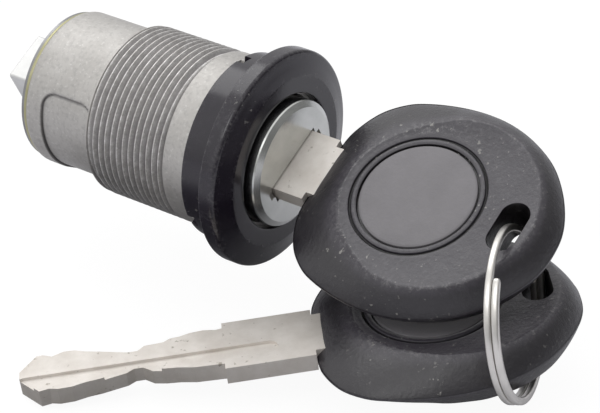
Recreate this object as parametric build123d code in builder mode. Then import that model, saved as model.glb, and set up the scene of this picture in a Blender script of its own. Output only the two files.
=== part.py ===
from build123d import *
import math
import os

# Boot lock cylinder with two keys on a split ring.
# Frame: origin at the centre of the flange's back face (the panel seat), +Z up.
# The lock axis lies along Y: the key side faces -Y, the barrel runs back along +Y.
# Stations along the axis are written s: s = 0 at the panel seat, positive towards the key side.

# ---------------------------------------------------------------- driving dimensions (mm)
key_roll = 27.5  # keyway angle above the horizontal, seen from the key side

# bezel
flange_r = 15.0
flange_thickness = 2.2
flange_crown = 1.07  # annulus stands this far in front of the flange's rim line
annulus_r = 11.93
bezel_bore_r = 9.42
bezel_web = 1.62
skirt_r = 12.9
skirt_inner_r = 11.65
skirt_length = 4.4
clip_angles = (60.5, 180.5, 300.5)
clip_width = 1.6
clip_notch = 1.9

# housing
band_r = 12.0  # smooth band and thread major radius
nose_r = 11.6  # part of the barrel inside the skirt
band_front = -4.5
thread_front = -8.2
thread_rear = -21.2
body_r = 10.95
barrel_rear = -32.8
rear_chamfer = 0.3
barrel_front = 1.6
counterbore_r = 9.0
counterbore_floor = -0.3
bore_r = 7.55
web_front = -31.4
web_bore_r = 6.25
spigot_r = 8.4
spigot_lip_r = 8.8
pad_from, pad_to = 127.5, 222.5
pad_rear = -30.0
pad_depth = 0.35

# rear plates
washer_r = 10.65
washer_thickness = 0.55
retainer_r = 10.55
retainer_thickness = 0.4

# plug
plug_r = 7.5
plug_head_r = 8.3
plug_face = 4.35
plug_rear = -30.2
keyway_wide = 10.3
keyway_narrow = 8.8
keyway_thick = 2.7
shoulder_stop = -2.6
keyway_end = -29.7
tail_r = 3.0
tail_end = -33.4

# plug face cap
cap_r = 8.76
cap_face_r = 7.93
cap_face = 4.79
cap_edge = 4.06
cap_back = 2.0
cap_sheet = 0.4

# wafers
wafer_count = 8
wafer_first = -4.8
wafer_pitch = 2.9
wafer_thick = 1.5
wafer_wide = 7.0
wafer_r = 7.4

# square drive
drive_flange_r = 7.3
drive_flange_front = -30.3
drive_flange_rear = -31.35
drive_hub_r = 6.15
square_side = 7.5
square_front = -34.4
square_end = -41.0
lug_angle = 300.0
turn_range = 90.0

# key
blade_thick = 2.4
blade_root = 9.3  # station of the head's front edge with the key home
shoulder_u = -11.7
head_half_thick = 3.7
head_edge_r = 3.2
slot_u = 29.0
slot_long = 7.6
slot_wide = 4.0
badge_u = 15.6
badge_r = 8.0

# second key and ring as they lie
key_b_origin = (-14.158, -17.815, -14.951)
key_b_u = (0.63537, -0.76125, 0.12962)
key_b_n = (-0.10020, 0.08517, 0.99132)
ring_centre = (-4.590, -41.827, -7.025)
ring_normal = (0.29799, -0.93404, 0.19690)
ring_start = (0.51662, 0.33126, 0.78954)  # from the centre towards the first key's slot
ring_r = 10.85
ring_wire = 0.98
ring_strip = 0.92
ring_layer = 0.48

os.makedirs("parts", exist_ok=True)

roll = math.radians(key_roll)
WIDE = (math.cos(roll), 0.0, math.sin(roll))  # across the keyway's width
FLAT = (-math.sin(roll), 0.0, math.cos(roll))  # across the blade's thickness
LOCK_AXIS = Axis((0, 0, 0), (0, -1, 0))

seat = Plane(origin=(0, 0, 0), x_dir=WIDE, z_dir=(0, -1, 0))  # x wide, y flat, z towards the key side
turned = Plane(origin=(0, 0, 0), x_dir=WIDE, z_dir=(math.sin(roll), 0, -math.cos(roll)))  # x radius, y station
key_a = Plane(origin=(0, -blade_root, 0), x_dir=(0, -1, 0), z_dir=FLAT)  # x along the key, y wide, z flat
key_b = Plane(origin=key_b_origin, x_dir=key_b_u, z_dir=key_b_n)


def polar(r, angle):
    return (r * math.cos(math.radians(angle)), r * math.sin(math.radians(angle)))


# ---------------------------------------------------------------- housing: one die-cast barrel
# cutter for the shallow pad on the rear body, with rounded corners
with BuildPart() as pad_cutter:
    with BuildSketch(Plane(origin=(0, 0, 0), x_dir=seat.from_local_coords(Vector(*polar(1, pad_from), 0)),
                           z_dir=seat.from_local_coords(Vector(*polar(1, pad_from - 90), 0)))) as pad_section:
        with BuildLine():
            Polyline((body_r - pad_depth, pad_rear), (body_r + 1.5, pad_rear), (body_r + 1.5, thread_rear - 0.55),
                     (body_r - pad_depth, thread_rear - 0.55), close=True)
        make_face()
    revolve(axis=LOCK_AXIS, revolution_arc=pad_to - pad_from)
    fillet(pad_cutter.edges().filter_by(GeomType.LINE).filter_by(lambda e: abs(e.length - (1.5 + pad_depth)) < 0.01).group_by(Axis.Y)[-1], 2.0)

with BuildPart() as housing:
    with BuildSketch(turned):
        with BuildLine():
            Polyline(
                (counterbore_r, barrel_front), (nose_r - 0.4, barrel_front), (nose_r, barrel_front - 0.4),
                (nose_r, band_front), (band_r, band_front), (band_r, thread_rear), (body_r, thread_rear - 0.5),
                (body_r, barrel_rear + rear_chamfer), (body_r - rear_chamfer, barrel_rear),
                (spigot_r, barrel_rear), (spigot_r, barrel_rear - washer_thickness - retainer_thickness - 0.05),
                (spigot_lip_r, barrel_rear - washer_thickness - retainer_thickness - 0.05),
                (spigot_lip_r, barrel_rear - washer_thickness - retainer_thickness - 0.4),
                (web_bore_r, barrel_rear - washer_thickness - retainer_thickness - 0.4),
                (web_bore_r, web_front), (bore_r, web_front), (bore_r, counterbore_floor),
                (counterbore_r, counterbore_floor), close=True)
        make_face()
    revolve(axis=LOCK_AXIS)
    # wafer channels on both sides of the bore
    with BuildSketch(seat.offset(-26.4)):
        with Locations((0, 0)):
            Rectangle(2 * 8.8, 7.4)
    extrude(amount=22.8, mode=Mode.SUBTRACT)
    # stop recess for the drive's lug, at the rear end of the bore
    with BuildSketch(seat.offset(web_front)):
        with BuildLine():
            a0, a1 = lug_angle - turn_range - 13.0, lug_angle + 13.0
            inner_arc = CenterArc((0, 0), bore_r - 0.5, a0, a1 - a0)
            outer_arc = CenterArc((0, 0), 8.5, a0, a1 - a0)
            Line(inner_arc @ 0, outer_arc @ 0)
            Line(inner_arc @ 1, outer_arc @ 1)
        make_face()
    extrude(amount=1.25, mode=Mode.SUBTRACT)
    # pockets for the bezel's clips
    for angle in clip_angles:
        pocket = Plane(origin=seat.from_local_coords(Vector(*polar(11.0, angle), -3.45)),
                       x_dir=(0, -1, 0), z_dir=seat.from_local_coords(Vector(*polar(1, angle), 0)))
        with BuildSketch(pocket):
            RectangleRounded(3.5, clip_notch, 0.35)
        extrude(amount=2.0, mode=Mode.SUBTRACT)
    add(pad_cutter.part, mode=Mode.SUBTRACT)
housing.part.label = "housing"
export_step(housing.part, "parts/housing.step")

# ---------------------------------------------------------------- bezel: flange, skirt and clips
with BuildPart() as bezel:
    with BuildSketch(turned) as bezel_section:
        with BuildLine():
            Polyline(
                (bezel_bore_r, flange_thickness + flange_crown - bezel_web),
                (bezel_bore_r, flange_thickness + flange_crown),
                (annulus_r, flange_thickness + flange_crown),
                (flange_r, flange_thickness), (flange_r, 0), (skirt_r, 0), (skirt_r, -skirt_length),
                (skirt_inner_r, -skirt_length),
                (skirt_inner_r, flange_thickness + flange_crown - bezel_web), close=True)
        make_face()
        fillet(bezel_section.vertices().sort_by_distance((flange_r, flange_thickness, 0))[0], 0.6)
        fillet(bezel_section.vertices().sort_by_distance((bezel_bore_r, flange_thickness + flange_crown, 0))[0], 0.2)
    revolve(axis=LOCK_AXIS)
    for angle in clip_angles:
        clip = Plane(origin=seat.from_local_coords(Vector(*polar(11.1, angle), -2.5)),
                     x_dir=(0, -1, 0), z_dir=seat.from_local_coords(Vector(*polar(1, angle), 0)))
        with BuildSketch(clip):
            RectangleRounded(1.3, clip_width, 0.25)
        extrude(amount=1.0)
        notch = Plane(origin=seat.from_local_coords(Vector(*polar(10.0, angle), -skirt_length)),
                      x_dir=(0, -1, 0), z_dir=seat.from_local_coords(Vector(*polar(1, angle), 0)))
        with BuildSketch(notch):
            RectangleRounded(2.3, clip_notch, 0.4)
        extrude(amount=4.0, mode=Mode.SUBTRACT)
bezel.part.label = "bezel"
export_step(bezel.part, "parts/bezel.step")

# ---------------------------------------------------------------- rear plates, held by the swaged spigot
with BuildPart() as rear_washer:
    with BuildSketch(seat.offset(barrel_rear - washer_thickness)):
        Circle(washer_r)
        Circle(spigot_r + 0.05, mode=Mode.SUBTRACT)
    extrude(amount=washer_thickness)
    fillet(rear_washer.edges().group_by(SortBy.LENGTH)[-1], 0.15)
rear_washer.part.label = "rear_washer"
export_step(rear_washer.part, "parts/rear_washer.step")

with BuildPart() as rear_retainer:
    with BuildSketch(seat.offset(barrel_rear - washer_thickness - retainer_thickness)):
        Circle(retainer_r)
        Circle(spigot_r + 0.05, mode=Mode.SUBTRACT)
    extrude(amount=retainer_thickness)
rear_retainer.part.label = "rear_retainer"
export_step(rear_retainer.part, "parts/rear_retainer.step")

# ---------------------------------------------------------------- plug: the turning core
with BuildPart() as plug:
    with BuildSketch(turned) as plug_section:
        with BuildLine():
            Polyline(
                (0, plug_face), (plug_head_r - 0.5, plug_face), (plug_head_r, plug_face - 0.45),
                (plug_head_r, 1.35), (7.6, 1.35), (7.6, 0.05), (plug_head_r, 0.05),
                (plug_head_r, counterbore_floor + 0.1), (plug_r, counterbore_floor + 0.1),
                (plug_r, plug_rear), (tail_r, plug_rear), (tail_r, tail_end), (0, tail_end), close=True)
        make_face()
    revolve(axis=LOCK_AXIS)
    # keyway, wide down to the shoulder stop
    with BuildSketch(seat.offset(shoulder_stop)):
        Rectangle(keyway_wide, keyway_thick)
    extrude(amount=plug_face - shoulder_stop, mode=Mode.SUBTRACT)
    with BuildSketch(seat.offset(keyway_end)):
        Rectangle(keyway_narrow, keyway_thick)
    extrude(amount=shoulder_stop - keyway_end, mode=Mode.SUBTRACT)
    # slots for the wafers, with a pocket for each wafer's ear and spring
    for i in range(wafer_count):
        side = 1 if i % 2 == 0 else -1
        with BuildSketch(seat.offset(wafer_first - i * wafer_pitch - wafer_thick / 2 - 0.05)):
            Rectangle(2 * plug_r + 1, wafer_wide + 0.1)
            with Locations((-1.4 * side, 4.3 * side)):
                Rectangle(6.6, 1.7)
        extrude(amount=wafer_thick + 0.1, mode=Mode.SUBTRACT)
    # hole for the drive's cross pin
    with BuildSketch(Plane(origin=(0, 32.2, 0), x_dir=FLAT, z_dir=WIDE)):
        Circle(0.8)
    extrude(amount=5, both=True, mode=Mode.SUBTRACT)
plug.part.label = "plug"
export_step(plug.part, "parts/plug.step")

with BuildPart() as plug_cap:
    with BuildSketch(turned) as cap_section:
        with BuildLine():
            Polyline(
                (0, cap_face), (cap_face_r, cap_face), (cap_r - 0.08, cap_edge + 0.22), (cap_r, cap_edge), (cap_r, cap_back),
                (cap_r - cap_sheet, cap_back), (cap_r - cap_sheet, cap_edge - 0.12), (cap_face_r - 0.1, cap_face - cap_sheet),
                (0, cap_face - cap_sheet), close=True)
        make_face()
    revolve(axis=LOCK_AXIS)
    with BuildSketch(seat.offset(cap_face - 1)):
        Rectangle(10.7, 2.9)
        for end in (1, -1):
            with Locations((end * 5.5, -0.45 * end)):
                Rectangle(1.3, 1.3)
    extrude(amount=2, mode=Mode.SUBTRACT)
plug_cap.part.label = "plug_cap"
export_step(plug_cap.part, "parts/plug_cap.step")

with BuildPart() as plug_seal:
    with BuildSketch(turned):
        with Locations((plug_head_r, 0.7)):
            Circle(0.62)
    revolve(axis=LOCK_AXIS)
plug_seal.part.label = "plug_seal"
export_step(plug_seal.part, "parts/plug_seal.step")

# ---------------------------------------------------------------- square drive on the plug's tail
with BuildPart() as square_drive:
    with BuildSketch(turned):
        with BuildLine():
            Polyline(
                (tail_r + 0.05, drive_flange_front), (drive_flange_r, drive_flange_front),
                (drive_flange_r, drive_flange_rear), (drive_hub_r, drive_flange_rear),
                (drive_hub_r, square_front), (0, square_front), (0, tail_end - 0.1),
                (tail_r + 0.05, tail_end - 0.1), close=True)
        make_face()
    revolve(axis=LOCK_AXIS)
    with BuildSketch(seat.offset(square_end)):
        RectangleRounded(square_side, square_side, 0.35)
    extrude(amount=square_front - square_end)
    chamfer(square_drive.faces().sort_by(Axis.Y)[-1].edges(), 0.35)
    # stop lug
    with BuildSketch(seat.offset(drive_flange_rear)):
        with BuildLine():
            lug_in = CenterArc((0, 0), drive_flange_r - 0.6, lug_angle - 12, 24)
            lug_out = CenterArc((0, 0), 8.3, lug_angle - 12, 24)
            Line(lug_in @ 0, lug_out @ 0)
            Line(lug_in @ 1, lug_out @ 1)
        make_face()
    extrude(amount=drive_flange_front - drive_flange_rear)
    with BuildSketch(Plane(origin=(0, 32.2, 0), x_dir=FLAT, z_dir=WIDE)):
        Circle(0.8)
    extrude(amount=8, both=True, mode=Mode.SUBTRACT)
square_drive.part.label = "square_drive"
export_step(square_drive.part, "parts/square_drive.step")

with BuildPart() as drive_pin:
    with BuildSketch(Plane(origin=(0, 32.2, 0), x_dir=FLAT, z_dir=WIDE)):
        Circle(0.8)
    extrude(amount=5.9, both=True)
    chamfer(drive_pin.edges().filter_by(GeomType.CIRCLE), 0.15)
drive_pin.part.label = "drive_pin"
export_step(drive_pin.part, "parts/drive_pin.step")

# ---------------------------------------------------------------- wafers and their springs
for i in range(wafer_count):
    side = 1 if i % 2 == 0 else -1
    middle = wafer_first - i * wafer_pitch
    with BuildPart() as wafer:
        with BuildSketch(seat.offset(middle - wafer_thick / 2)):
            Circle(wafer_r)
            Rectangle(2 * wafer_r + 2, wafer_wide, mode=Mode.INTERSECT)
            with Locations((0.9 * side, 4.2 * side)):
                Rectangle(1.4, 1.5)
            with Locations((0.25 * side, 0)):
                Rectangle(9.1, 2.9, mode=Mode.SUBTRACT)
        extrude(amount=wafer_thick)
    wafer.part.label = f"wafer_{i + 1}"
    export_step(wafer.part, f"parts/wafer_{i + 1}.step")

    with BuildPart() as wafer_spring:
        spring_foot = seat.from_local_coords(Vector(-4.45, 4.3, middle))
        with BuildLine() as spring_line:
            coil = Helix(pitch=0.76, height=4.4, radius=0.52, center=spring_foot, direction=WIDE)
        with BuildSketch(Plane(origin=coil @ 0, z_dir=coil % 0)):
            Circle(0.12)
        sweep(path=coil, is_frenet=True)
    if side < 0:
        wafer_spring.part = wafer_spring.part.rotate(LOCK_AXIS, 180)
    wafer_spring.part.label = f"wafer_spring_{i + 1}"
    export_step(wafer_spring.part, f"parts/wafer_spring_{i + 1}.step")

# ---------------------------------------------------------------- keys
blade_outline = [
    (12.0, 3.9), (0.0, 3.9), (0.0, 5.0), (shoulder_u, 5.0), (shoulder_u, 3.9), (-12.5, 3.75), (-14.1, 4.1), (-15.9, 3.95),
    (-17.3, 3.5), (-18.5, 3.4), (-19.4, 2.8), (-20.7, 2.7), (-21.9, 2.65), (-22.8, 1.75), (-24.1, 1.75), (-25.6, 2.2),
    (-27.8, 2.9), (-29.6, 3.4), (-31.0, 4.0), (-32.4, 4.1), (-34.0, 3.4), (-35.2, 4.0), (-36.0, 3.95), (-38.2, 0.9),
    (-38.2, -0.5), (-35.6, -3.8), (-34.3, -3.5), (-33.2, -3.85), (-31.4, -3.8), (-29.6, -3.3), (-27.8, -3.05), (-26.0, -2.6),
    (-24.4, -2.2), (-23.4, -1.5), (-22.2, -1.5), (-21.0, -2.6), (-19.4, -3.0), (-17.6, -3.2), (-15.6, -3.7), (-13.8, -3.8),
    (shoulder_u, -3.9), (shoulder_u, -5.0), (0.0, -5.0), (0.0, -3.9), (12.0, -3.9)]
head_side = [(0.0, 3.5), (0.35, 7.2), (2.2, 11.2), (5.0, 13.8), (8.0, 15.1), (12.0, 16.0), (16.0, 16.3), (20.0, 15.9),
             (24.0, 14.6), (28.0, 12.3), (31.0, 9.3), (33.2, 6.0), (34.4, 3.0)]
head_outline = [(0.0, 0.0)] + head_side + [(34.7, 0.0)] + [(u, -v) for u, v in reversed(head_side)]

for name, place in (("key_a", key_a), ("key_b", key_b)):
    # blade: pressed and milled strip, cut on both edges, one groove on each face
    with BuildPart() as blade:
        with BuildSketch(place):
            with BuildLine():
                Polyline(*blade_outline, close=True)
            make_face()
        extrude(amount=blade_thick / 2, both=True)
        with BuildSketch(place.offset(blade_thick / 2 - 0.4)):
            with Locations((-21.7, -1.65)):
                SlotOverall(34.0, 2.5)
        extrude(amount=1, mode=Mode.SUBTRACT)
        with BuildSketch(place.offset(-blade_thick / 2 + 0.4)):
            with Locations((-21.7, 1.65)):
                SlotOverall(34.0, 2.5)
        extrude(amount=-1, mode=Mode.SUBTRACT)
    blade.part.label = f"{name}_blade"
    export_step(blade.part, f"parts/{name}_blade.step")

    # head: moulded round the blade's tang, slotted for the ring, recessed for the badge
    with BuildPart() as head:
        with BuildSketch(place):
            with BuildLine():
                Spline(*head_outline, periodic=True)
            make_face()
        extrude(amount=head_half_thick, both=True)
        fillet(head.edges().filter_by(lambda e: abs(place.to_local_coords(e.center()).Z) > head_half_thick - 0.1), head_edge_r)
        with BuildSketch(place):
            with Locations((slot_u, 0)):
                SlotOverall(slot_long, slot_wide, rotation=90)
        extrude(amount=head_half_thick + 1, both=True, mode=Mode.SUBTRACT)
        with BuildSketch(place.offset(head_half_thick - 0.7)):
            with Locations((badge_u, 0)):
                Circle(badge_r)
        extrude(amount=2, mode=Mode.SUBTRACT)
        with BuildSketch(place):
            with Locations((5.0, 0)):
                Rectangle(14.0, 7.8)
        extrude(amount=blade_thick / 2, both=True, mode=Mode.SUBTRACT)
    head.part.label = f"{name}_head"
    export_step(head.part, f"parts/{name}_head.step")

    # badge: plain disc set in the head
    with BuildPart() as badge:
        with BuildSketch(place.offset(head_half_thick - 0.7)):
            with Locations((badge_u, 0)):
                Circle(badge_r - 0.05)
        extrude(amount=0.5)
        fillet(badge.faces().sort_by(Axis(place.origin, place.z_dir))[-1].edges(), 0.12)
    badge.part.label = f"{name}_badge"
    export_step(badge.part, f"parts/{name}_badge.step")


# ---------------------------------------------------------------- split ring: two turns of flattened wire
def wire_plane(angle, layer):
    c = Vector(*ring_centre)
    n = Vector(*ring_normal).normalized()
    e1 = Vector(*ring_start)
    e1 = (e1 - n * e1.dot(n)).normalized()
    e2 = n.cross(e1)
    a = math.radians(angle)
    radial = e1 * math.cos(a) + e2 * math.sin(a)
    return Plane(origin=c + radial * ring_r + n * layer, x_dir=radial, z_dir=e2 * math.cos(a) - e1 * math.sin(a))


ring_axis = Axis(ring_centre, ring_normal)
first_end, cross_from, cross_to, last_end = 72.0, 315.0, 375.0, 660.0
with BuildPart() as split_ring:
    with BuildSketch(wire_plane(first_end, ring_layer)):
        RectangleRounded(ring_wire, ring_strip, 0.28)
    revolve(axis=ring_axis, revolution_arc=cross_from - first_end)
    with BuildSketch(wire_plane(cross_to, -ring_layer)):
        RectangleRounded(ring_wire, ring_strip, 0.28)
    revolve(axis=ring_axis, revolution_arc=last_end - cross_to)
    steps = 8
    for k in range(steps + 1):
        x = k / steps
        ease = x * x * (3 - 2 * x)
        with BuildSketch(wire_plane(cross_from + (cross_to - cross_from) * x, ring_layer * (1 - 2 * ease))):
            RectangleRounded(ring_wire, ring_strip, 0.28)
    loft()
split_ring.part.label = "split_ring"
export_step(split_ring.part, "parts/split_ring.step")
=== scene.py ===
import bpy
import bmesh
import math
import random
from mathutils import Matrix, Vector

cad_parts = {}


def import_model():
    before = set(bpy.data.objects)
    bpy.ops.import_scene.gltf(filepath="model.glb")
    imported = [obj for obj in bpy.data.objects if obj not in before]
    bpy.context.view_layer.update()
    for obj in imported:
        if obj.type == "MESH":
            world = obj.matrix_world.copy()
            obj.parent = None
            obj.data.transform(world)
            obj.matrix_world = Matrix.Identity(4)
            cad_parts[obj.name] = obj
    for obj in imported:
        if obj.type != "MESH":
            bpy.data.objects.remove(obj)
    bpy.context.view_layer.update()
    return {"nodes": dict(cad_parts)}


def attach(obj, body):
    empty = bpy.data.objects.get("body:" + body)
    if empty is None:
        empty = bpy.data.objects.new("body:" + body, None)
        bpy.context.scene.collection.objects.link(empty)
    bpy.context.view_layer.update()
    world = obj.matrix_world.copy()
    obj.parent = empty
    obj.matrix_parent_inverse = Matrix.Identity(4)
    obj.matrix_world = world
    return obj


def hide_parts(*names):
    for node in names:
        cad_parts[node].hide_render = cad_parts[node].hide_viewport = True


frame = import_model()
MM = 0.001

# ------------------------------------------------------------------ axes of the lock and of the two keys
ROLL = math.radians(27.5)
WIDE = Vector((math.cos(ROLL), 0, math.sin(ROLL)))
FLAT = Vector((-math.sin(ROLL), 0, math.cos(ROLL)))
FRONT = Vector((0, -1, 0))
KEY_A = (Vector((0, -9.3, 0)), FRONT, WIDE, FLAT)
bu = Vector((0.63537, -0.76125, 0.12962)).normalized()
bn = Vector((-0.10020, 0.08517, 0.99132))
bn = (bn - bu * bn.dot(bu)).normalized()
KEY_B = (Vector((-14.158, -17.815, -14.951)), bu, bn.cross(bu), bn)
SEAT = (Vector((0, 0, 0)), WIDE, FLAT, FRONT)


def world(place, x, y, z):
    o, a, b, c = place
    return (o + a * x + b * y + c * z) * MM


def make(name, verts, faces, body, material, smooth_angle=35.0, place=None):
    mesh = bpy.data.meshes.new(name)
    if place is not None:
        verts = [world(place, *v) for v in verts]
    mesh.from_pydata([tuple(v) for v in verts], [], faces)
    mesh.validate()
    bm = bmesh.new()
    bm.from_mesh(mesh)
    bmesh.ops.remove_doubles(bm, verts=bm.verts, dist=1e-7)
    bmesh.ops.recalc_face_normals(bm, faces=bm.faces)
    bm.to_mesh(mesh)
    bm.free()
    obj = bpy.data.objects.new(name, mesh)
    bpy.context.scene.collection.objects.link(obj)
    shade(obj, smooth_angle)
    mesh.materials.append(material)
    if body:
        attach(obj, body)
    return obj


def shade(obj, angle):
    mesh = obj.data
    for p in mesh.polygons:
        p.use_smooth = True
    mesh.set_sharp_from_angle(angle=math.radians(angle))


def modify(obj, kind, **settings):
    """applies one modifier to the object's mesh"""
    mod = obj.modifiers.new(kind, kind)
    for k, v in settings.items():
        setattr(mod, k, v)
    deps = bpy.context.evaluated_depsgraph_get()
    new = bpy.data.meshes.new_from_object(obj.evaluated_get(deps), preserve_all_data_layers=True, depsgraph=deps)
    obj.modifiers.clear()
    old = obj.data
    obj.data = new
    if not new.materials and old.materials:
        for m in old.materials:
            new.materials.append(m)


def ring_faces(rows, cols, closed_rows=False):
    """quads of a grid whose columns close on themselves"""
    out = []
    last = rows if closed_rows else rows - 1
    for i in range(last):
        for j in range(cols):
            a = i * cols + j
            b = i * cols + (j + 1) % cols
            c = ((i + 1) % rows) * cols + (j + 1) % cols
            d = ((i + 1) % rows) * cols + j
            out.append((a, b, c, d))
    return out


def smoothstep(a, b, x):
    t = min(1.0, max(0.0, (x - a) / (b - a)))
    return t * t * (3 - 2 * t)


# ------------------------------------------------------------------ materials
def new_material(name):
    m = bpy.data.materials.new(name)
    m.use_nodes = True
    nt = m.node_tree
    return m, nt, nt.nodes["Principled BSDF"]


def node(nt, kind, **settings):
    n = nt.nodes.new(kind)
    for k, v in settings.items():
        if k.startswith("in_"):
            n.inputs[k[3:]].default_value = v
        else:
            setattr(n, k, v)
    return n


def coords(nt, scale=1.0):
    tc = node(nt, "ShaderNodeTexCoord")
    mp = node(nt, "ShaderNodeMapping")
    mp.inputs["Scale"].default_value = (scale, scale, scale) if not isinstance(scale, tuple) else scale
    nt.links.new(tc.outputs["Object"], mp.inputs["Vector"])
    return mp.outputs["Vector"]


def noise(nt, vec, scale, detail=4.0, rough=0.55):
    n = node(nt, "ShaderNodeTexNoise")
    n.inputs["Scale"].default_value = scale
    n.inputs["Detail"].default_value = detail
    n.inputs["Roughness"].default_value = rough
    nt.links.new(vec, n.inputs["Vector"])
    return n.outputs["Fac"]


def ramp(nt, fac, stops):
    r = node(nt, "ShaderNodeValToRGB")
    while len(r.color_ramp.elements) < len(stops):
        r.color_ramp.elements.new(0.5)
    for e, (p, c) in zip(r.color_ramp.elements, stops):
        e.position = p
        e.color = (*c, 1.0) if len(c) == 3 else c
    nt.links.new(fac, r.inputs["Fac"])
    return r.outputs["Color"]


def mix(nt, fac, a, b, blend="MIX"):
    n = node(nt, "ShaderNodeMix", data_type="RGBA", blend_type=blend)
    for sock, v in (("Factor", fac), ("A", a), ("B", b)):
        s = n.inputs[sock] if sock == "Factor" else [i for i in n.inputs if i.name == sock and i.type == "RGBA"][0]
        if sock == "Factor":
            s = n.inputs[0]
        if isinstance(v, (tuple, list)):
            s.default_value = (*v, 1.0) if len(v) == 3 else v
        elif isinstance(v, (int, float)):
            s.default_value = v
        else:
            nt.links.new(v, s)
    return [o for o in n.outputs if o.type == "RGBA"][0]


def math_node(nt, op, a, b=0.0, clamp=False):
    n = node(nt, "ShaderNodeMath", operation=op, use_clamp=clamp)
    for i, v in enumerate((a, b)):
        if isinstance(v, (int, float)):
            n.inputs[i].default_value = v
        else:
            nt.links.new(v, n.inputs[i])
    return n.outputs[0]


def attribute(nt, name):
    return node(nt, "ShaderNodeAttribute", attribute_name=name).outputs["Fac"]


def bump(nt, bsdf, height, strength=0.3, distance=0.0001):
    b = node(nt, "ShaderNodeBump")
    b.inputs["Strength"].default_value = strength
    b.inputs["Distance"].default_value = distance
    nt.links.new(height, b.inputs["Height"])
    nt.links.new(b.outputs["Normal"], bsdf.inputs["Normal"])
    return b


def metal(name, low, high, rough=(0.3, 0.5), grain=900.0, grain_strength=0.25, metallic=1.0, blotch=140.0, stretch=(1, 1, 1), specks=None):
    m, nt, b = new_material(name)
    b.inputs["Metallic"].default_value = metallic
    v = coords(nt, stretch)
    cloud = noise(nt, v, blotch, 5.0, 0.6)
    colour = ramp(nt, cloud, [(0.3, low), (0.7, high)])
    fine = noise(nt, v, grain, 6.0, 0.7)
    if specks:
        sp, scol = specks
        s = noise(nt, v, sp, 3.0, 0.5)
        mask = ramp(nt, s, [(0.66, (0, 0, 0)), (0.72, (1, 1, 1))])
        colour = mix(nt, mask, colour, scol)
    nt.links.new(colour, b.inputs["Base Color"])
    r = node(nt, "ShaderNodeMapRange")
    r.inputs["To Min"].default_value, r.inputs["To Max"].default_value = rough
    nt.links.new(fine, r.inputs["Value"])
    nt.links.new(r.outputs["Result"], b.inputs["Roughness"])
    bump(nt, b, fine, grain_strength, 0.00005)
    return m


def zinc_material():
    """satin die-cast zinc; point attributes paint shade into the thread roots, flanks and clip pockets and a shadow
    line along the pad's step, and paint a highlight, broken into worn nicks, onto the thread crests
    """
    m, nt, b = new_material("cast_zinc")
    b.inputs["Metallic"].default_value = 0.72
    v = coords(nt)
    cloud = noise(nt, v, 130.0, 5.0, 0.62)
    colour = ramp(nt, cloud, [(0.25, (0.44, 0.425, 0.405)), (0.5, (0.52, 0.505, 0.485)), (0.78, (0.60, 0.585, 0.565))])
    fine = noise(nt, v, 2600.0, 5.0, 0.7)
    speck = ramp(nt, noise(nt, v, 1700.0, 3.0, 0.6), [(0.50, (0, 0, 0)), (0.66, (1, 1, 1))])
    colour = mix(nt, math_node(nt, "MULTIPLY", speck, 0.30), colour, (0.30, 0.29, 0.285))
    bright = ramp(nt, noise(nt, v, 2100.0, 3.0, 0.6), [(0.58, (0, 0, 0)), (0.70, (1, 1, 1))])
    colour = mix(nt, math_node(nt, "MULTIPLY", bright, 0.40), colour, (0.76, 0.75, 0.73))
    valley_shade = attribute(nt, "valley_shade")
    # painted shade: thread roots, flanks and clip pockets made darker
    colour = mix(nt, math_node(nt, "MULTIPLY", valley_shade, 0.62), colour, (0.26, 0.245, 0.265))
    # painted highlight on the thread crests, broken up into worn nicks
    crest_highlight_and_nicks = attribute(nt, "crest_highlight_and_nicks")
    nick = ramp(nt, noise(nt, v, 900.0, 7.0, 0.85), [(0.44, (0.05, 0.05, 0.05)), (0.62, (1, 1, 1))])
    colour = mix(nt, math_node(nt, "MULTIPLY", crest_highlight_and_nicks, nick), colour, (0.80, 0.79, 0.78))
    # painted shadow: near-black line along the pad recess's step
    pad_edge_shadow = attribute(nt, "pad_edge_shadow")
    colour = mix(nt, pad_edge_shadow, colour, (0.05, 0.045, 0.045))
    nt.links.new(colour, b.inputs["Base Color"])
    r = node(nt, "ShaderNodeMapRange")
    r.inputs["To Min"].default_value, r.inputs["To Max"].default_value = 0.42, 0.66
    nt.links.new(fine, r.inputs["Value"])
    nt.links.new(r.outputs["Result"], b.inputs["Roughness"])
    height = math_node(nt, "ADD", math_node(nt, "MULTIPLY", fine, 0.6), math_node(nt, "MULTIPLY", cloud, 0.8))
    bump(nt, b, height, 0.35, 0.00008)
    return m


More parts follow.
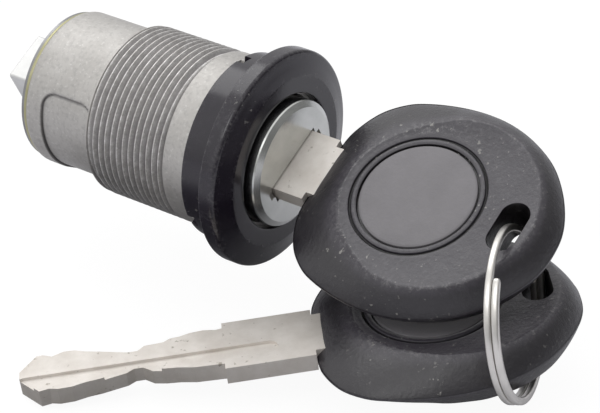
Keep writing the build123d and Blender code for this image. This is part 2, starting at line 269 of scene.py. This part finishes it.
def plastic_material(name, base, light, rough, grain, grain_strength, wear_and_highlight=0.0, coat=0.0, speckle=0.0, spec=0.5):
    m, nt, b = new_material(name)
    v = coords(nt)
    b.inputs["Specular IOR Level"].default_value = spec
    cloud = noise(nt, v, 160.0, 5.0, 0.65)
    colour = ramp(nt, cloud, [(0.3, base), (0.75, light)])
    fine = noise(nt, v, grain, 5.0, 0.65)
    if wear_and_highlight:
        # lighter rubbed patches: real edge wear, and on the key heads also a painted highlight along the ridge
        w = attribute(nt, "wear_and_highlight")
        patch = ramp(nt, noise(nt, v, 1300.0, 6.0, 0.8), [(0.50, (0, 0, 0)), (0.68, (1, 1, 1))])
        colour = mix(nt, math_node(nt, "MULTIPLY", math_node(nt, "MULTIPLY", w, patch), wear_and_highlight, True), colour, (0.20, 0.195, 0.20))
        # painted shade: near black on the badge grooves, the recess under the badge and the key heads' side walls
        colour = mix(nt, attribute(nt, "painted_shade"), colour, (0.006, 0.005, 0.006))
    if speckle:
        s = ramp(nt, noise(nt, v, 1500.0, 2.0, 0.5), [(0.66, (0, 0, 0)), (0.72, (1, 1, 1))])
        gate = ramp(nt, noise(nt, v, 110.0, 3.0, 0.5), [(0.50, (0, 0, 0)), (0.64, (1, 1, 1))])
        colour = mix(nt, math_node(nt, "MULTIPLY", math_node(nt, "MULTIPLY", s, gate), speckle), colour, (0.42, 0.41, 0.38))
    nt.links.new(colour, b.inputs["Base Color"])
    r = node(nt, "ShaderNodeMapRange")
    r.inputs["To Min"].default_value, r.inputs["To Max"].default_value = rough
    nt.links.new(noise(nt, v, 90.0, 4.0, 0.6), r.inputs["Value"])
    nt.links.new(r.outputs["Result"], b.inputs["Roughness"])
    if coat:
        b.inputs["Coat Weight"].default_value = coat
        b.inputs["Coat Roughness"].default_value = 0.12
    bump(nt, b, fine, grain_strength, 0.00010)
    return m


zinc = zinc_material()
gloss_black = plastic_material("gloss_black", (0.012, 0.009, 0.016), (0.022, 0.018, 0.028), (0.14, 0.26), 900.0, 0.05, wear_and_highlight=0.50, speckle=0.5, spec=0.62)
head_black = plastic_material("head_black", (0.030, 0.026, 0.035), (0.050, 0.045, 0.056), (0.28, 0.42), 1500.0, 0.9, wear_and_highlight=0.85, speckle=0.60, spec=0.72)
badge_grey = plastic_material("badge_grey", (0.165, 0.158, 0.168), (0.205, 0.196, 0.208), (0.42, 0.52), 2100.0, 0.50, speckle=0.0)
rubber = plastic_material("seal_rubber", (0.015, 0.015, 0.015), (0.03, 0.03, 0.03), (0.5, 0.7), 1500.0, 0.2)
cap_steel = metal("cap_steel", (0.52, 0.53, 0.515), (0.64, 0.65, 0.63), rough=(0.16, 0.30), grain=500.0, grain_strength=0.05, blotch=220.0)
square_steel = metal("square_steel", (0.58, 0.58, 0.575), (0.74, 0.74, 0.73), rough=(0.34, 0.52), grain=1400.0, grain_strength=0.2, metallic=0.85)
washer_olive = metal("washer_olive", (0.38, 0.36, 0.21), (0.50, 0.48, 0.31), rough=(0.3, 0.5), grain=1500.0, grain_strength=0.2, blotch=420.0)
clip_steel = metal("clip_steel", (0.24, 0.24, 0.25), (0.36, 0.36, 0.365), rough=(0.3, 0.5), grain=1500.0, grain_strength=0.2)
dark_steel = metal("dark_steel", (0.06, 0.06, 0.065), (0.12, 0.12, 0.12), rough=(0.3, 0.5), grain=1500.0, grain_strength=0.2)
brass = metal("wafer_brass", (0.62, 0.46, 0.20), (0.78, 0.62, 0.32), rough=(0.25, 0.45), grain=900.0, grain_strength=0.2)
plug_zinc = metal("plug_zinc", (0.36, 0.35, 0.34), (0.50, 0.49, 0.47), rough=(0.35, 0.6), grain=1800.0, grain_strength=0.3)
blade_silver = metal("blade_silver", (0.66, 0.615, 0.565), (0.80, 0.76, 0.715), rough=(0.42, 0.58), grain=1500.0, grain_strength=0.18,
                     metallic=0.40, blotch=300.0, specks=(900.0, (0.42, 0.38, 0.33)))
blade_cut = metal("blade_cut", (0.30, 0.27, 0.25), (0.62, 0.58, 0.54), rough=(0.2, 0.35), grain=900.0, grain_strength=0.2, metallic=1.0, blotch=500.0)
ring_steel = metal("ring_steel", (0.62, 0.605, 0.575), (0.75, 0.73, 0.70), rough=(0.24, 0.38), grain=700.0, grain_strength=0.10, blotch=300.0)

for name in list(frame["nodes"]):
    o = frame["nodes"][name]
    mat = None
    if name.startswith("wafer_spring"):
        mat = dark_steel
    elif name.startswith("wafer"):
        mat = brass
    mat = {"housing": zinc, "bezel": gloss_black, "rear_washer": washer_olive, "rear_retainer": clip_steel, "plug": plug_zinc,
           "plug_cap": cap_steel, "plug_seal": rubber, "square_drive": square_steel, "drive_pin": dark_steel,
           "key_a_blade": blade_silver, "key_b_blade": blade_silver, "key_a_head": head_black, "key_b_head": head_black,
           "key_a_badge": badge_grey, "key_b_badge": badge_grey, "split_ring": ring_steel}.get(name, mat)
    o.data.materials.clear()
    o.data.materials.append(mat)


# ------------------------------------------------------------------ housing: barrel with a cut thread, pad and clip pockets
CLIPS = (60.5, 180.5, 300.5)


def local_angle(j, cols):
    return 360.0 * j / cols


def wrap(a):
    return (a + 180.0) % 360.0 - 180.0


COLS = 288
stations = [(1.6, 11.2), (1.2, 11.6), (0.0, 11.6), (-1.6, 11.6), (-1.72, 11.6), (-2.0, 11.6), (-2.7, 11.6)]
s = -2.8
while s > -8.0:
    stations.append((s, 11.6 if s > -4.5 else 12.0))
    s -= 0.16
stations += [(-8.0, 12.0), (-8.2, 11.95), (-8.35, 11.5), (-8.6, 11.42), (-12.0, 11.42), (-16.0, 11.42), (-20.8, 11.42), (-21.05, 11.5), (-21.2, 11.9),
             (-21.3, 11.92), (-21.42, 11.7), (-21.6, 11.15), (-21.75, 10.97)]
s = -21.82
while s > -30.4:
    stations.append((s, 10.95))
    s -= 0.1
stations += [(-30.6, 10.95), (-31.0, 10.95), (-31.6, 10.95), (-32.2, 10.95), (-32.42, 10.94), (-32.60, 10.87), (-32.74, 10.76), (-32.8, 10.64), (-32.8, 9.6),
             (-32.8, 8.4), (-33.80, 8.4), (-33.80, 8.8), (-34.05, 8.78), (-34.15, 8.70), (-34.15, 6.25), (-31.4, 6.25), (-31.4, 7.55), (-20.0, 7.55),
             (-8.0, 7.55), (-0.3, 7.55), (-0.3, 9.0), (1.6, 9.0)]


def pad_depth(s, a):
    """signed distance to the pad's edge, negative inside; rounded corners, in mm along the surface"""
    x = abs(wrap(a - 175.0)) * math.radians(1) * 10.95
    y = abs(s + 25.9)
    hx, hy, r = 47.5 * math.radians(1) * 10.95, 4.1, 2.1
    if s > -25.9:
        hy = 4.4
    qx, qy = max(x - (hx - r), 0.0), max(y - (hy - r), 0.0)
    d = math.hypot(qx, qy) - r
    inner = max(x - hx, y - hy) if (qx == 0 or qy == 0) else d
    d = inner if (qx == 0 or qy == 0) else d
    return d


verts, valley_shade, pad_edge_shadow, crest_highlight_and_nicks = [], [], [], []
for s, r in stations:
    for j in range(COLS):
        a = local_angle(j, COLS)
        rr, va, li = r, 0.0, 0.0
        if -30.6 < s < -21.7 and abs(r - 10.95) < 0.05:
            d = pad_depth(s, a)
            rr = r - 0.33 * smoothstep(0.10, -0.14, d)
            # painted shadow line along the pad recess's step
            li = 0.9 * max(0.0, 1.0 - abs(d + 0.08) / 0.24)
        # painted shade: the clip pockets are darkened in colour
        if -5.4 < s < -1.65 and r < 12.05:
            for c in CLIPS:
                if abs(wrap(a - c)) * math.radians(1) * 12.0 < 1.0 and -5.2 < s < -1.7:
                    rr, va = 11.0, 1.0
        # painted shade over the thread root between the turns
        if -21.2 < s < -8.3:
            va = 1.0
        verts.append(world(SEAT, rr * math.cos(math.radians(a)), rr * math.sin(math.radians(a)), s))
        valley_shade.append(va)
        pad_edge_shadow.append(li)
        crest_highlight_and_nicks.append(0.0)
faces = ring_faces(len(stations), COLS, closed_rows=True)

# thread ridge: one helix of about thirteen turns, running out at both ends
PITCH, TURNS, PER = 1.0, 12.6, 144
section = [(-0.50, 11.38), (-0.22, 11.72), (-0.075, 11.985), (0.0, 12.0), (0.075, 11.985), (0.22, 11.72), (0.50, 11.38)]
base = len(verts)
count = int(TURNS * PER)
for i in range(count + 1):
    t = i / PER
    a = 360.0 * t
    s0 = -8.55 - PITCH * t
    rise = smoothstep(0.0, 0.35, t) * smoothstep(TURNS, TURNS - 0.35, t)
    wob = 0.012 * math.sin(7.0 * a * 0.01745) + 0.01 * math.sin(2.3 * a * 0.01745)
    for ds, r in section:
        rr = 11.38 + (r - 11.38) * (0.15 + 0.85 * rise)
        verts.append(world(SEAT, rr * math.cos(math.radians(a)), rr * math.sin(math.radians(a)), s0 + ds + wob * 0.4))
        # painted shade on the thread's root and flanks
        valley_shade.append(1.0 if r < 11.6 else (0.55 if r < 11.9 else 0.0))
        pad_edge_shadow.append(0.0)
        # painted highlight along the crest, partly worn nicks
        crest_highlight_and_nicks.append(1.0 if r > 11.9 else (0.35 if r > 11.6 else 0.0))
n = len(section)
for i in range(count):
    for k in range(n - 1):
        a0 = base + i * n + k
        faces.append((a0, a0 + 1, a0 + n + 1, a0 + n))
housing = make("housing_skin", verts, faces, "barrel", zinc, smooth_angle=60, place=None)


def point_attribute(obj, name, values):
    layer = obj.data.attributes.new(name, "FLOAT", "POINT")
    layer.data.foreach_set("value", values)


def make_with(name, verts, faces, body, material, attributes, smooth_angle=40.0, recalc=True):
    mesh = bpy.data.meshes.new(name)
    mesh.from_pydata([tuple(v) for v in verts], [], faces)
    mesh.update()
    obj = bpy.data.objects.new(name, mesh)
    bpy.context.scene.collection.objects.link(obj)
    for k, values in attributes.items():
        point_attribute(obj, k, values)
    if recalc:
        bm = bmesh.new()
        bm.from_mesh(mesh)
        bmesh.ops.recalc_face_normals(bm, faces=bm.faces)
        bm.to_mesh(mesh)
        bm.free()
    shade(obj, smooth_angle)
    mesh.materials.append(material)
    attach(obj, body)
    return obj


bpy.data.objects.remove(housing)
housing = make_with("housing_skin", verts, faces, "barrel", zinc, {"valley_shade": valley_shade, "pad_edge_shadow": pad_edge_shadow, "crest_highlight_and_nicks": crest_highlight_and_nicks}, 50)
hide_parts("housing")


# ------------------------------------------------------------------ bezel: flange, skirt, clip windows and lugs
def arc_points(cx, cy, r, a0, a1, n):
    return [(cx + r * math.cos(math.radians(a0 + (a1 - a0) * k / n)), cy + r * math.sin(math.radians(a0 + (a1 - a0) * k / n))) for k in range(n + 1)]


BEZEL_COLS = 288
tilt = math.degrees(math.atan2(2.2 - 3.27, 15.0 - 11.93))
bezel_profile = [(9.42, 1.65, 0), (9.42, 2.4, 0)]
bezel_profile += [(r, s, 0.2) for r, s in arc_points(9.62, 3.07, 0.2, 180, 90, 5)]
bezel_profile += [(9.9, 3.27, 0.05), (10.6, 3.268, 0), (11.3, 3.27, 0.05)]
bezel_profile += [(r, s, 0.7) for r, s in arc_points(11.76, 2.97, 0.30, 90, 90 + tilt, 4)]
bezel_profile += [(12.4, 3.27 - 0.47 * 1.07 / 3.07, 0.1), (13.1, 3.27 - 1.17 * 1.07 / 3.07, 0), (13.9, 3.27 - 1.97 * 1.07 / 3.07, 0.05)]
bezel_profile += [(r, s, 0.8) for r, s in arc_points(14.4, 1.82, 0.6, 90 + tilt, 0, 8)]
bezel_profile += [(15.0, 1.2, 0.2), (15.0, 0.7, 0.2), (15.0, 0.25, 0.6)] + [(r, s, 1.0) for r, s in arc_points(14.85, 0.15, 0.15, 0, -90, 4)]
bezel_profile += [(14.2, 0, 0.1), (13.3, 0, 0), (12.98, 0, 0), (12.9, -0.08, 0), (12.9, -0.6, 0), (12.9, -1.6, 0.05), (12.9, -2.6, 0.05), (12.9, -3.6, 0.1), (12.9, -4.15, 0.4)]
bezel_profile += [(r, s, 0.9) for r, s in arc_points(12.75, -4.25, 0.15, 0, -90, 4)]
bezel_profile += [(12.2, -4.4, 0.2), (11.65, -4.4, 0.2), (11.65, -2.0, 0), (11.65, 1.65, 0)]
verts, wear_and_highlight, painted_shade = [], [], []
for r, s, w in bezel_profile:
    for j in range(BEZEL_COLS):
        a = 2 * math.pi * j / BEZEL_COLS
        verts.append(world(SEAT, r * math.cos(a), r * math.sin(a), s))
        wear_and_highlight.append(w)
        painted_shade.append(0.0)
faces = ring_faces(len(bezel_profile), BEZEL_COLS, closed_rows=True)
bezel = make_with("bezel_skin", verts, faces, "barrel", gloss_black, {"wear_and_highlight": wear_and_highlight, "painted_shade": painted_shade}, 35)


def block(name, at_angle, r0, r1, half, s0, s1):
    """closed box standing on a radius, with its width across the angle"""
    ca, sa = math.cos(math.radians(at_angle)), math.sin(math.radians(at_angle))
    v = []
    for r in (r0, r1):
        for t, s in ((-half, s0), (half, s0), (half, s1), (-half, s1)):
            v.append(world(SEAT, r * ca - t * sa, r * sa + t * ca, s))
    f = [(0, 1, 2, 3), (7, 6, 5, 4), (0, 4, 5, 1), (1, 5, 6, 2), (2, 6, 7, 3), (3, 7, 4, 0)]
    mesh = bpy.data.meshes.new(name)
    mesh.from_pydata([tuple(p) for p in v], [], f)
    bm = bmesh.new()
    bm.from_mesh(mesh)
    bmesh.ops.recalc_face_normals(bm, faces=bm.faces)
    bm.to_mesh(mesh)
    bm.free()
    obj = bpy.data.objects.new(name, mesh)
    bpy.context.scene.collection.objects.link(obj)
    bpy.context.view_layer.update()
    return obj


for k, c in enumerate(CLIPS):
    cutter = block(f"clip_window_{k}", c, 11.3, 13.3, 0.95, -5.2, -3.25)
    modify(bezel, "BOOLEAN", operation="DIFFERENCE", object=cutter, solver="EXACT")
    bpy.data.objects.remove(cutter)
    lug = block(f"clip_lug_{k}", c, 11.1, 12.1, 0.8, -3.15, -1.85)
    modify(bezel, "BOOLEAN", operation="UNION", object=lug, solver="EXACT")
    bpy.data.objects.remove(lug)
shade(bezel, 35)
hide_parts("bezel")


# ------------------------------------------------------------------ key heads
def spline_closed(points, per=24):
    """closed smooth curve through the points"""
    out = []
    n = len(points)
    for i in range(n):
        p0, p1, p2, p3 = points[i - 1], points[i], points[(i + 1) % n], points[(i + 2) % n]
        for k in range(per):
            t = k / per
            out.append(tuple(0.5 * (2 * p1[c] + (p2[c] - p0[c]) * t + (2 * p0[c] - 5 * p1[c] + 4 * p2[c] - p3[c]) * t * t
                                    + (3 * p1[c] - p0[c] - 3 * p2[c] + p3[c]) * t ** 3) for c in range(2)))
    return out


head_side = [(0.0, 3.5), (0.35, 7.2), (2.2, 11.2), (5.0, 13.8), (8.0, 15.1), (12.0, 16.0), (16.0, 16.3), (20.0, 15.9),
             (24.0, 14.6), (28.0, 12.3), (31.0, 9.3), (33.2, 6.0), (34.4, 3.0)]
outline = spline_closed([(0.0, 0.0)] + head_side + [(34.7, 0.0)] + [(u, -v) for u, v in reversed(head_side)])
BADGE_U = 15.6


def radius_table(points, step=1.0):
    """radius from the badge's centre at each angle"""
    polar = sorted((math.degrees(math.atan2(v, u - BADGE_U)) % 360.0, math.hypot(u - BADGE_U, v)) for u, v in points)
    polar = [(polar[-1][0] - 360.0, polar[-1][1])] + polar + [(polar[0][0] + 360.0, polar[0][1])]
    table, k = [], 0
    a = 0.0
    while a < 360.0 - 1e-9:
        while polar[k + 1][0] < a:
            k += 1
        (a0, r0), (a1, r1) = polar[k], polar[k + 1]
        table.append(r0 + (r1 - r0) * ((a - a0) / (a1 - a0) if a1 > a0 else 0.0))
        a += step
    return table


HEAD_COLS = 360
outer_r = radius_table(outline)
plateau_points = [(0, 16.6), (15, 16.3), (30, 15.9), (47, 15.0), (67, 13.9), (86, 12.7), (105, 11.3), (120, 10.6), (147, 10.3), (180, 10.3)]
plateau_r = []
for j in range(HEAD_COLS):
    a = abs(wrap(float(j)))
    for (a0, r0), (a1, r1) in zip(plateau_points, plateau_points[1:]):
        if a0 <= a <= a1:
            t = (a - a0) / (a1 - a0)
            plateau_r.append(r0 + (r1 - r0) * (t * t * (3 - 2 * t)))
            break
for _ in range(30):
    plateau_r = [(plateau_r[i - 1] + 2 * plateau_r[i] + plateau_r[(i + 1) % HEAD_COLS]) / 4 for i in range(HEAD_COLS)]

HEAD_H = 3.7
DISH = 3.30
# the third value marks painted shade at the bottom of the badge grooves
TOP_RINGS = [(8.05, 2.80, 1), (8.06, 3.10, 1), (8.12, 3.24, 0.3), (8.30, 3.32, 0), (8.6, 3.32, 0), (8.74, 3.28, 0), (8.81, 3.18, 0.3), (8.84, 2.92, 1),
             (8.98, 2.86, 1), (9.12, 2.92, 1), (9.15, 3.16, 0.3), (9.22, 3.25, 0), (9.4, 3.29, 0), (9.7, DISH, 0)]


def head_surface(j, t):
    """radius and height of the face between the badge ring and the head's edge; t runs 0..1 to the ridge and 1..2 to the edge"""
    rp, ro = plateau_r[j], outer_r[j]
    lift = min(1.0, (rp - 9.9) / 2.2)
    h = DISH + (HEAD_H - DISH) * lift
    if t <= 1.0:
        r = 9.7 + (rp - 9.7) * t
        return r, DISH + (h - DISH) * t ** 1.6 * (1.0 if t < 1.0 else 1.0)
    x = t - 1.0
    p = 1.28
    z = h * max(0.0, 1.0 - x ** p) ** (1.0 / p)
    return rp + (ro - rp) * x, z


EDGE_T = [0.12, 0.3, 0.5, 0.7, 0.85, 0.95] + [1.0 + x for x in (0.0, 0.05, 0.1, 0.15, 0.2, 0.26, 0.32, 0.39, 0.46, 0.53, 0.60, 0.67, 0.74, 0.80, 0.85, 0.90, 0.94, 0.97, 0.988, 0.997)]


def build_head(name, place, body):
    verts, wear_and_highlight, painted_shade = [], [], []
    cols = HEAD_COLS

    def add_ring(fn):
        for j in range(cols):
            r, z, w, d = fn(j)
            a = math.radians(j)
            verts.append(world(place, BADGE_U + r * math.cos(a), r * math.sin(a), z))
            wear_and_highlight.append(w)
            painted_shade.append(d)

    for r, z, d in TOP_RINGS:
        add_ring(lambda j: (r, z, 0.15 if not d else 0.0, float(d)))
    def rub_and_ridge_highlight(j, t):
        """rubbed ridge all round, partly wear and partly a painted highlight along the ridge, and a paler crescent
        beside the groove
        """
        w = 0.2 + 0.8 * math.exp(-((t - 1.03) / 0.10) ** 2)
        crescent = math.exp(-((wrap(float(j) - 115.0) / 26.0) ** 2) - ((t - 0.45) / 0.45) ** 2)
        return min(1.0, w + 1.1 * crescent)

    # painted shade: side walls darkened from just past the ridge out to the edge
    def shaded(t):
        return 0.60 * smoothstep(1.14, 1.45, t)

    for t in EDGE_T:
        def ring(j, t=t):
            r, z = head_surface(j, t)
            return r, z, rub_and_ridge_highlight(j, t), shaded(t)
        add_ring(ring)
    # rim round the parting line: wear, and painted shade on the side wall
    add_ring(lambda j: (outer_r[j], 0.18, 0.3, 0.40))
    add_ring(lambda j: (outer_r[j] + 0.03, 0.05, 0.6, 0.30))
    add_ring(lambda j: (outer_r[j] + 0.03, -0.05, 0.6, 0.30))
    add_ring(lambda j: (outer_r[j], -0.18, 0.3, 0.40))
    for t in reversed(EDGE_T):
        def ring(j, t=t):
            r, z = head_surface(j, t)
            return r, -z, rub_and_ridge_highlight(j, t), shaded(t)
        add_ring(ring)
    for r in (9.0, 6.0, 3.0):
        add_ring(lambda j: (r, -DISH, 0.2, 0.0))
    rows = len(verts) // cols
    faces = ring_faces(rows, cols)
    # recess floor under the badge, painted in shade, and the middle of the back
    c0 = len(verts)
    verts.append(world(place, BADGE_U, 0, 2.80)); wear_and_highlight.append(0.0); painted_shade.append(1.0)
    c1 = len(verts)
    verts.append(world(place, BADGE_U, 0, -DISH)); wear_and_highlight.append(0.2); painted_shade.append(0.0)
    for j in range(cols):
        faces.append((c0, (j + 1) % cols, j))
        b = (rows - 1) * cols
        faces.append((c1, b + j, b + (j + 1) % cols))
    obj = make_with(name, verts, faces, body, head_black, {"wear_and_highlight": wear_and_highlight, "painted_shade": painted_shade}, 38)

    # ring slot with rolled edges, cut through the head
    cutter_verts, cutter_faces = [], []
    SEG = 48
    levels = [(-5.0, 1.5), (-3.7, 0.26), (-3.5, 0.14), (-3.25, 0.05), (-2.9, 0.0), (0.0, 0.0), (2.9, 0.0), (3.25, 0.05), (3.5, 0.14), (3.7, 0.26), (5.0, 1.5)]
    for z, grow in levels:
        for k in range(SEG):
            a = 2 * math.pi * k / SEG
            half_long, half_wide = 1.7, 1.9
            x = (half_wide + grow) * math.cos(a)
            y = (half_wide + grow) * math.sin(a) + (half_long if math.sin(a) > 1e-9 else (-half_long if math.sin(a) < -1e-9 else 0.0))
            cutter_verts.append(world(place, 29.0 + x, y, z))
    cutter_faces = ring_faces(len(levels), SEG)
    cutter_faces.append(tuple(reversed(range(SEG))))
    top = (len(levels) - 1) * SEG
    cutter_faces.append(tuple(top + k for k in range(SEG)))
    mesh = bpy.data.meshes.new(name + "_cut")
    mesh.from_pydata([tuple(v) for v in cutter_verts], [], cutter_faces)
    bm = bmesh.new()
    bm.from_mesh(mesh)
    bmesh.ops.recalc_face_normals(bm, faces=bm.faces)
    bm.to_mesh(mesh)
    bm.free()
    cutter = bpy.data.objects.new(name + "_cut", mesh)
    bpy.context.scene.collection.objects.link(cutter)
    bpy.context.view_layer.update()
    modify(obj, "BOOLEAN", operation="DIFFERENCE", object=cutter, solver="EXACT")
    bpy.data.objects.remove(cutter)
    shade(obj, 38)
    return obj


def build_badge(name, place, body):
    cols = 160
    rings = [(0.02, 3.30), (3.0, 3.30), (6.0, 3.295), (7.4, 3.285), (7.66, 3.26), (7.78, 3.19), (7.83, 3.05), (7.83, 2.82)]
    verts = []
    for r, z in rings:
        for j in range(cols):
            a = 2 * math.pi * j / cols
            verts.append(world(place, BADGE_U + r * math.cos(a), r * math.sin(a), z))
    faces = ring_faces(len(rings), cols)
    faces.append(tuple(range(cols)))
    faces.append(tuple(reversed(range((len(rings) - 1) * cols, len(rings) * cols))))
    return make_with(name, verts, faces, body, badge_grey, {}, 35)


for tag, place, body in (("key_a", KEY_A, "first_key"), ("key_b", KEY_B, "second_key")):
    head = build_head(tag + "_head_skin", place, body)
    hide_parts(tag + "_head")
    badge = build_badge(tag + "_badge_disc", place, body)
    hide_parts(tag + "_badge")


# ------------------------------------------------------------------ split ring
RC = Vector((-4.590, -41.827, -7.025))
RN = Vector((0.29799, -0.93404, 0.19690)).normalized()
E1 = Vector((0.51662, 0.33126, 0.78954))
E1 = (E1 - RN * E1.dot(RN)).normalized()
E2 = RN.cross(E1)
FIRST, CROSS0, CROSS1, LAST = 72.0, 315.0, 375.0, 660.0
half_r, half_n, round_r = 0.49, 0.46, 0.26
sec = []
for cx, cy, a0 in ((1, 1, 0), (-1, 1, 90), (-1, -1, 180), (1, -1, 270)):
    for k in range(5):
        a = math.radians(a0 + 22.5 * k)
        sec.append((cx * (half_r - round_r) + round_r * math.cos(a), cy * (half_n - round_r) + round_r * math.sin(a)))
verts, faces = [], []
steps = int((LAST - FIRST) / 1.5)
for i in range(steps + 1):
    ang = FIRST + (LAST - FIRST) * i / steps
    x = min(1.0, max(0.0, (ang - CROSS0) / (CROSS1 - CROSS0)))
    layer = 0.48 * (1 - 2 * (x * x * (3 - 2 * x)))
    a = math.radians(ang)
    rad = E1 * math.cos(a) + E2 * math.sin(a)
    shrink = 1.0
    d = min(ang - FIRST, LAST - ang)
    if d < 1.6:
        shrink = 0.80 + 0.20 * math.sqrt(max(0.0, d / 1.6))
    for px, py in sec:
        verts.append((RC + rad * (10.85 + px * shrink) + RN * (layer + py * shrink)) * MM)
faces = ring_faces(steps + 1, len(sec))
faces.append(tuple(reversed(range(len(sec)))))
faces.append(tuple(range(steps * len(sec), (steps + 1) * len(sec))))
ring = make_with("split_ring_wire", verts, faces, "ring", ring_steel, {}, 40)
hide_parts("split_ring")

# ------------------------------------------------------------------ floor, light and camera
floor_mesh = bpy.data.meshes.new("floor")
floor_mesh.from_pydata([(-3, -3, -0.0216), (3, -3, -0.0216), (3, 3, -0.0216), (-3, 3, -0.0216)], [], [(0, 1, 2, 3)])
floor = bpy.data.objects.new("floor", floor_mesh)
bpy.context.scene.collection.objects.link(floor)
fm, fnt, fb = new_material("floor_white")
fv = coords(fnt)
fnt.links.new(ramp(fnt, noise(fnt, fv, 3.0, 2.0), [(0.3, (0.90, 0.90, 0.90)), (0.7, (0.92, 0.92, 0.92))]), fb.inputs["Base Color"])
fb.inputs["Roughness"].default_value = 0.9
fb.inputs["Specular IOR Level"].default_value = 0.0
# painted shade on the floor: diffuse bounce rays see it dark, and other bounce rays see a painted shadow round the lock
soft = node(fnt, "ShaderNodeBsdfDiffuse")
soft.inputs["Color"].default_value = (0.12, 0.12, 0.13, 1.0)
glossy = node(fnt, "ShaderNodeBsdfDiffuse")
away = node(fnt, "ShaderNodeVectorMath", operation="DISTANCE")
away.inputs[1].default_value = (-0.028, 0.008, -0.0216)
fnt.links.new(node(fnt, "ShaderNodeNewGeometry").outputs["Position"], away.inputs[0])
shadow = node(fnt, "ShaderNodeMapRange", interpolation_type="SMOOTHSTEP")
for key, value in (("From Min", 0.010), ("From Max", 0.048), ("To Min", 0.0), ("To Max", 1.0)):
    shadow.inputs[key].default_value = value
fnt.links.new(away.outputs["Value"], shadow.inputs["Value"])
fnt.links.new(ramp(fnt, shadow.outputs["Result"], [(0.0, (0.10, 0.10, 0.11)), (1.0, (0.74, 0.74, 0.78))]), glossy.inputs["Color"])
glow = node(fnt, "ShaderNodeEmission")
glow.inputs["Color"].default_value = (1.0, 1.0, 1.0, 1.0)
glow.inputs["Strength"].default_value = 1.04
pale = node(fnt, "ShaderNodeMixShader")
pale.inputs[0].default_value = 0.10
fnt.links.new(glow.outputs[0], pale.inputs[1])
fnt.links.new(fb.outputs[0], pale.inputs[2])
seen = node(fnt, "ShaderNodeLightPath")
bounced = node(fnt, "ShaderNodeMixShader")
fnt.links.new(seen.outputs["Is Diffuse Ray"], bounced.inputs[0])
fnt.links.new(glossy.outputs[0], bounced.inputs[1])
fnt.links.new(soft.outputs[0], bounced.inputs[2])
both = node(fnt, "ShaderNodeMixShader")
fnt.links.new(seen.outputs["Is Camera Ray"], both.inputs[0])
fnt.links.new(bounced.outputs[0], both.inputs[1])
fnt.links.new(pale.outputs[0], both.inputs[2])
fnt.links.new(both.outputs[0], fnt.nodes["Material Output"].inputs["Surface"])
floor_mesh.materials.append(fm)

world_data = bpy.data.worlds.new("studio")
bpy.context.scene.world = world_data
world_data.use_nodes = True
bg = world_data.node_tree.nodes["Background"]
bg.inputs["Color"].default_value = (1.0, 1.0, 1.0, 1.0)
wnt = world_data.node_tree
towards = node(wnt, "ShaderNodeVectorMath", operation="DOT_PRODUCT")
towards.inputs[1].default_value = (-0.06, 0.52, 0.85)
wnt.links.new(node(wnt, "ShaderNodeTexCoord").outputs["Generated"], towards.inputs[0])
sky = node(wnt, "ShaderNodeMapRange", interpolation_type="SMOOTHSTEP")
for key, value in (("From Min", -0.30), ("From Max", 0.80), ("To Min", 0.22), ("To Max", 1.00)):
    sky.inputs[key].default_value = value
wnt.links.new(towards.outputs["Value"], sky.inputs["Value"])
wnt.links.new(sky.outputs["Result"], bg.inputs["Strength"])


def area(name, at, to, size, power, size_y=None, colour=(1, 1, 1)):
    light = bpy.data.lights.new(name, "AREA")
    light.energy = power
    light.color = colour
    light.shape = "RECTANGLE" if size_y else "SQUARE"
    light.size = size
    if size_y:
        light.size_y = size_y
    o = bpy.data.objects.new(name, light)
    bpy.context.scene.collection.objects.link(o)
    o.location = at
    o.rotation_euler = (Vector(to) - Vector(at)).to_track_quat("-Z", "Y").to_euler()
    return o


area("key_softbox", (0.20, 0.46, 0.78), (0, -0.005, 0), 0.55, 1.6)
area("side_softbox", (-0.50, 0.04, 0.56), (0, -0.02, 0), 0.30, 0.6)

cam_data = bpy.data.cameras.new("camera")
cam = bpy.data.objects.new("camera", cam_data)
bpy.context.scene.collection.objects.link(cam)
right = Vector((0.57822, -0.81588, 0.0))
down = Vector((-0.42091, -0.29831, -0.85665))
forward = Vector((0.69892, 0.49533, -0.51590))
rot = Matrix((right, -down, -forward)).transposed()
cam.matrix_world = Matrix.Translation(Vector((-0.227492, -0.166741, 0.161706))) @ rot.to_4x4()
cam_data.sensor_fit = "HORIZONTAL"
cam_data.sensor_width = 36.0
cam_data.lens = 2439.41 / 600.0 * 36.0
cam_data.clip_start = 0.01
cam_data.clip_end = 20.0
bpy.context.scene.camera = cam
bpy.context.scene.view_settings.view_transform = "Standard"
